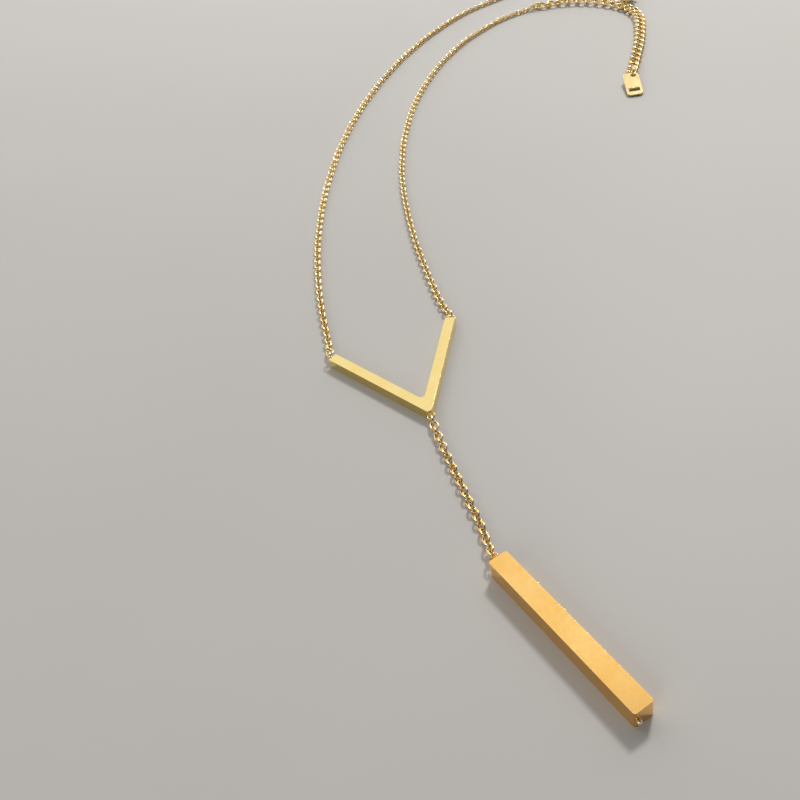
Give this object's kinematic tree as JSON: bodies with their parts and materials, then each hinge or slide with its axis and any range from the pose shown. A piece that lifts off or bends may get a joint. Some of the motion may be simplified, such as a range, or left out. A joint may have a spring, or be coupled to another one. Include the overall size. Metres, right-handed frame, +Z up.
{
  "type": "Y-shaped lariat necklace with V bar and bar pendant",
  "caption": "Fine cable chain necklace with a V-shaped bar, a short drop chain with a square bar pendant, a lobster clasp and a curb chain extender with a slotted tag.",
  "frame": {"origin": "centre of the bounding box, on the surface that the necklace lies on", "axes": "+Z up from that surface, +Y from the bar pendant towards the neck end, +X to the right"},
  "size_m": [0.105, 0.2398, 0.0036],
  "materials": {
    "bar_gold": "polished, gold plated",
    "chain_gold": "polished, gold plated",
    "clasp_gold": "polished, gold plated"
  },
  "bodies": {
    "necklace": {"v_bar": "bar_gold", "bar_pendant": "bar_gold", "drop_chain": "chain_gold", "left_chain": "chain_gold", "right_chain": "chain_gold", "joint_ring": "chain_gold", "extender_chain": "chain_gold", "hook_ring": "chain_gold", "clasp_body": "clasp_gold", "clasp_ring": "chain_gold", "tag_ring": "chain_gold", "tag": "clasp_gold"},
    "lever": {"clasp_lever": "clasp_gold"}
  },
  "joints": [
    {"name": "clasp_lever_hinge", "type": "hinge", "parent": "necklace", "child": "lever", "pos_m": [0.05124, 0.09164, 0.00159], "axis": [-0.0226, -0.1162, -0.993], "range_deg": [0, 28], "stiffness_Nm_per_rad": 0.002}
  ]
}
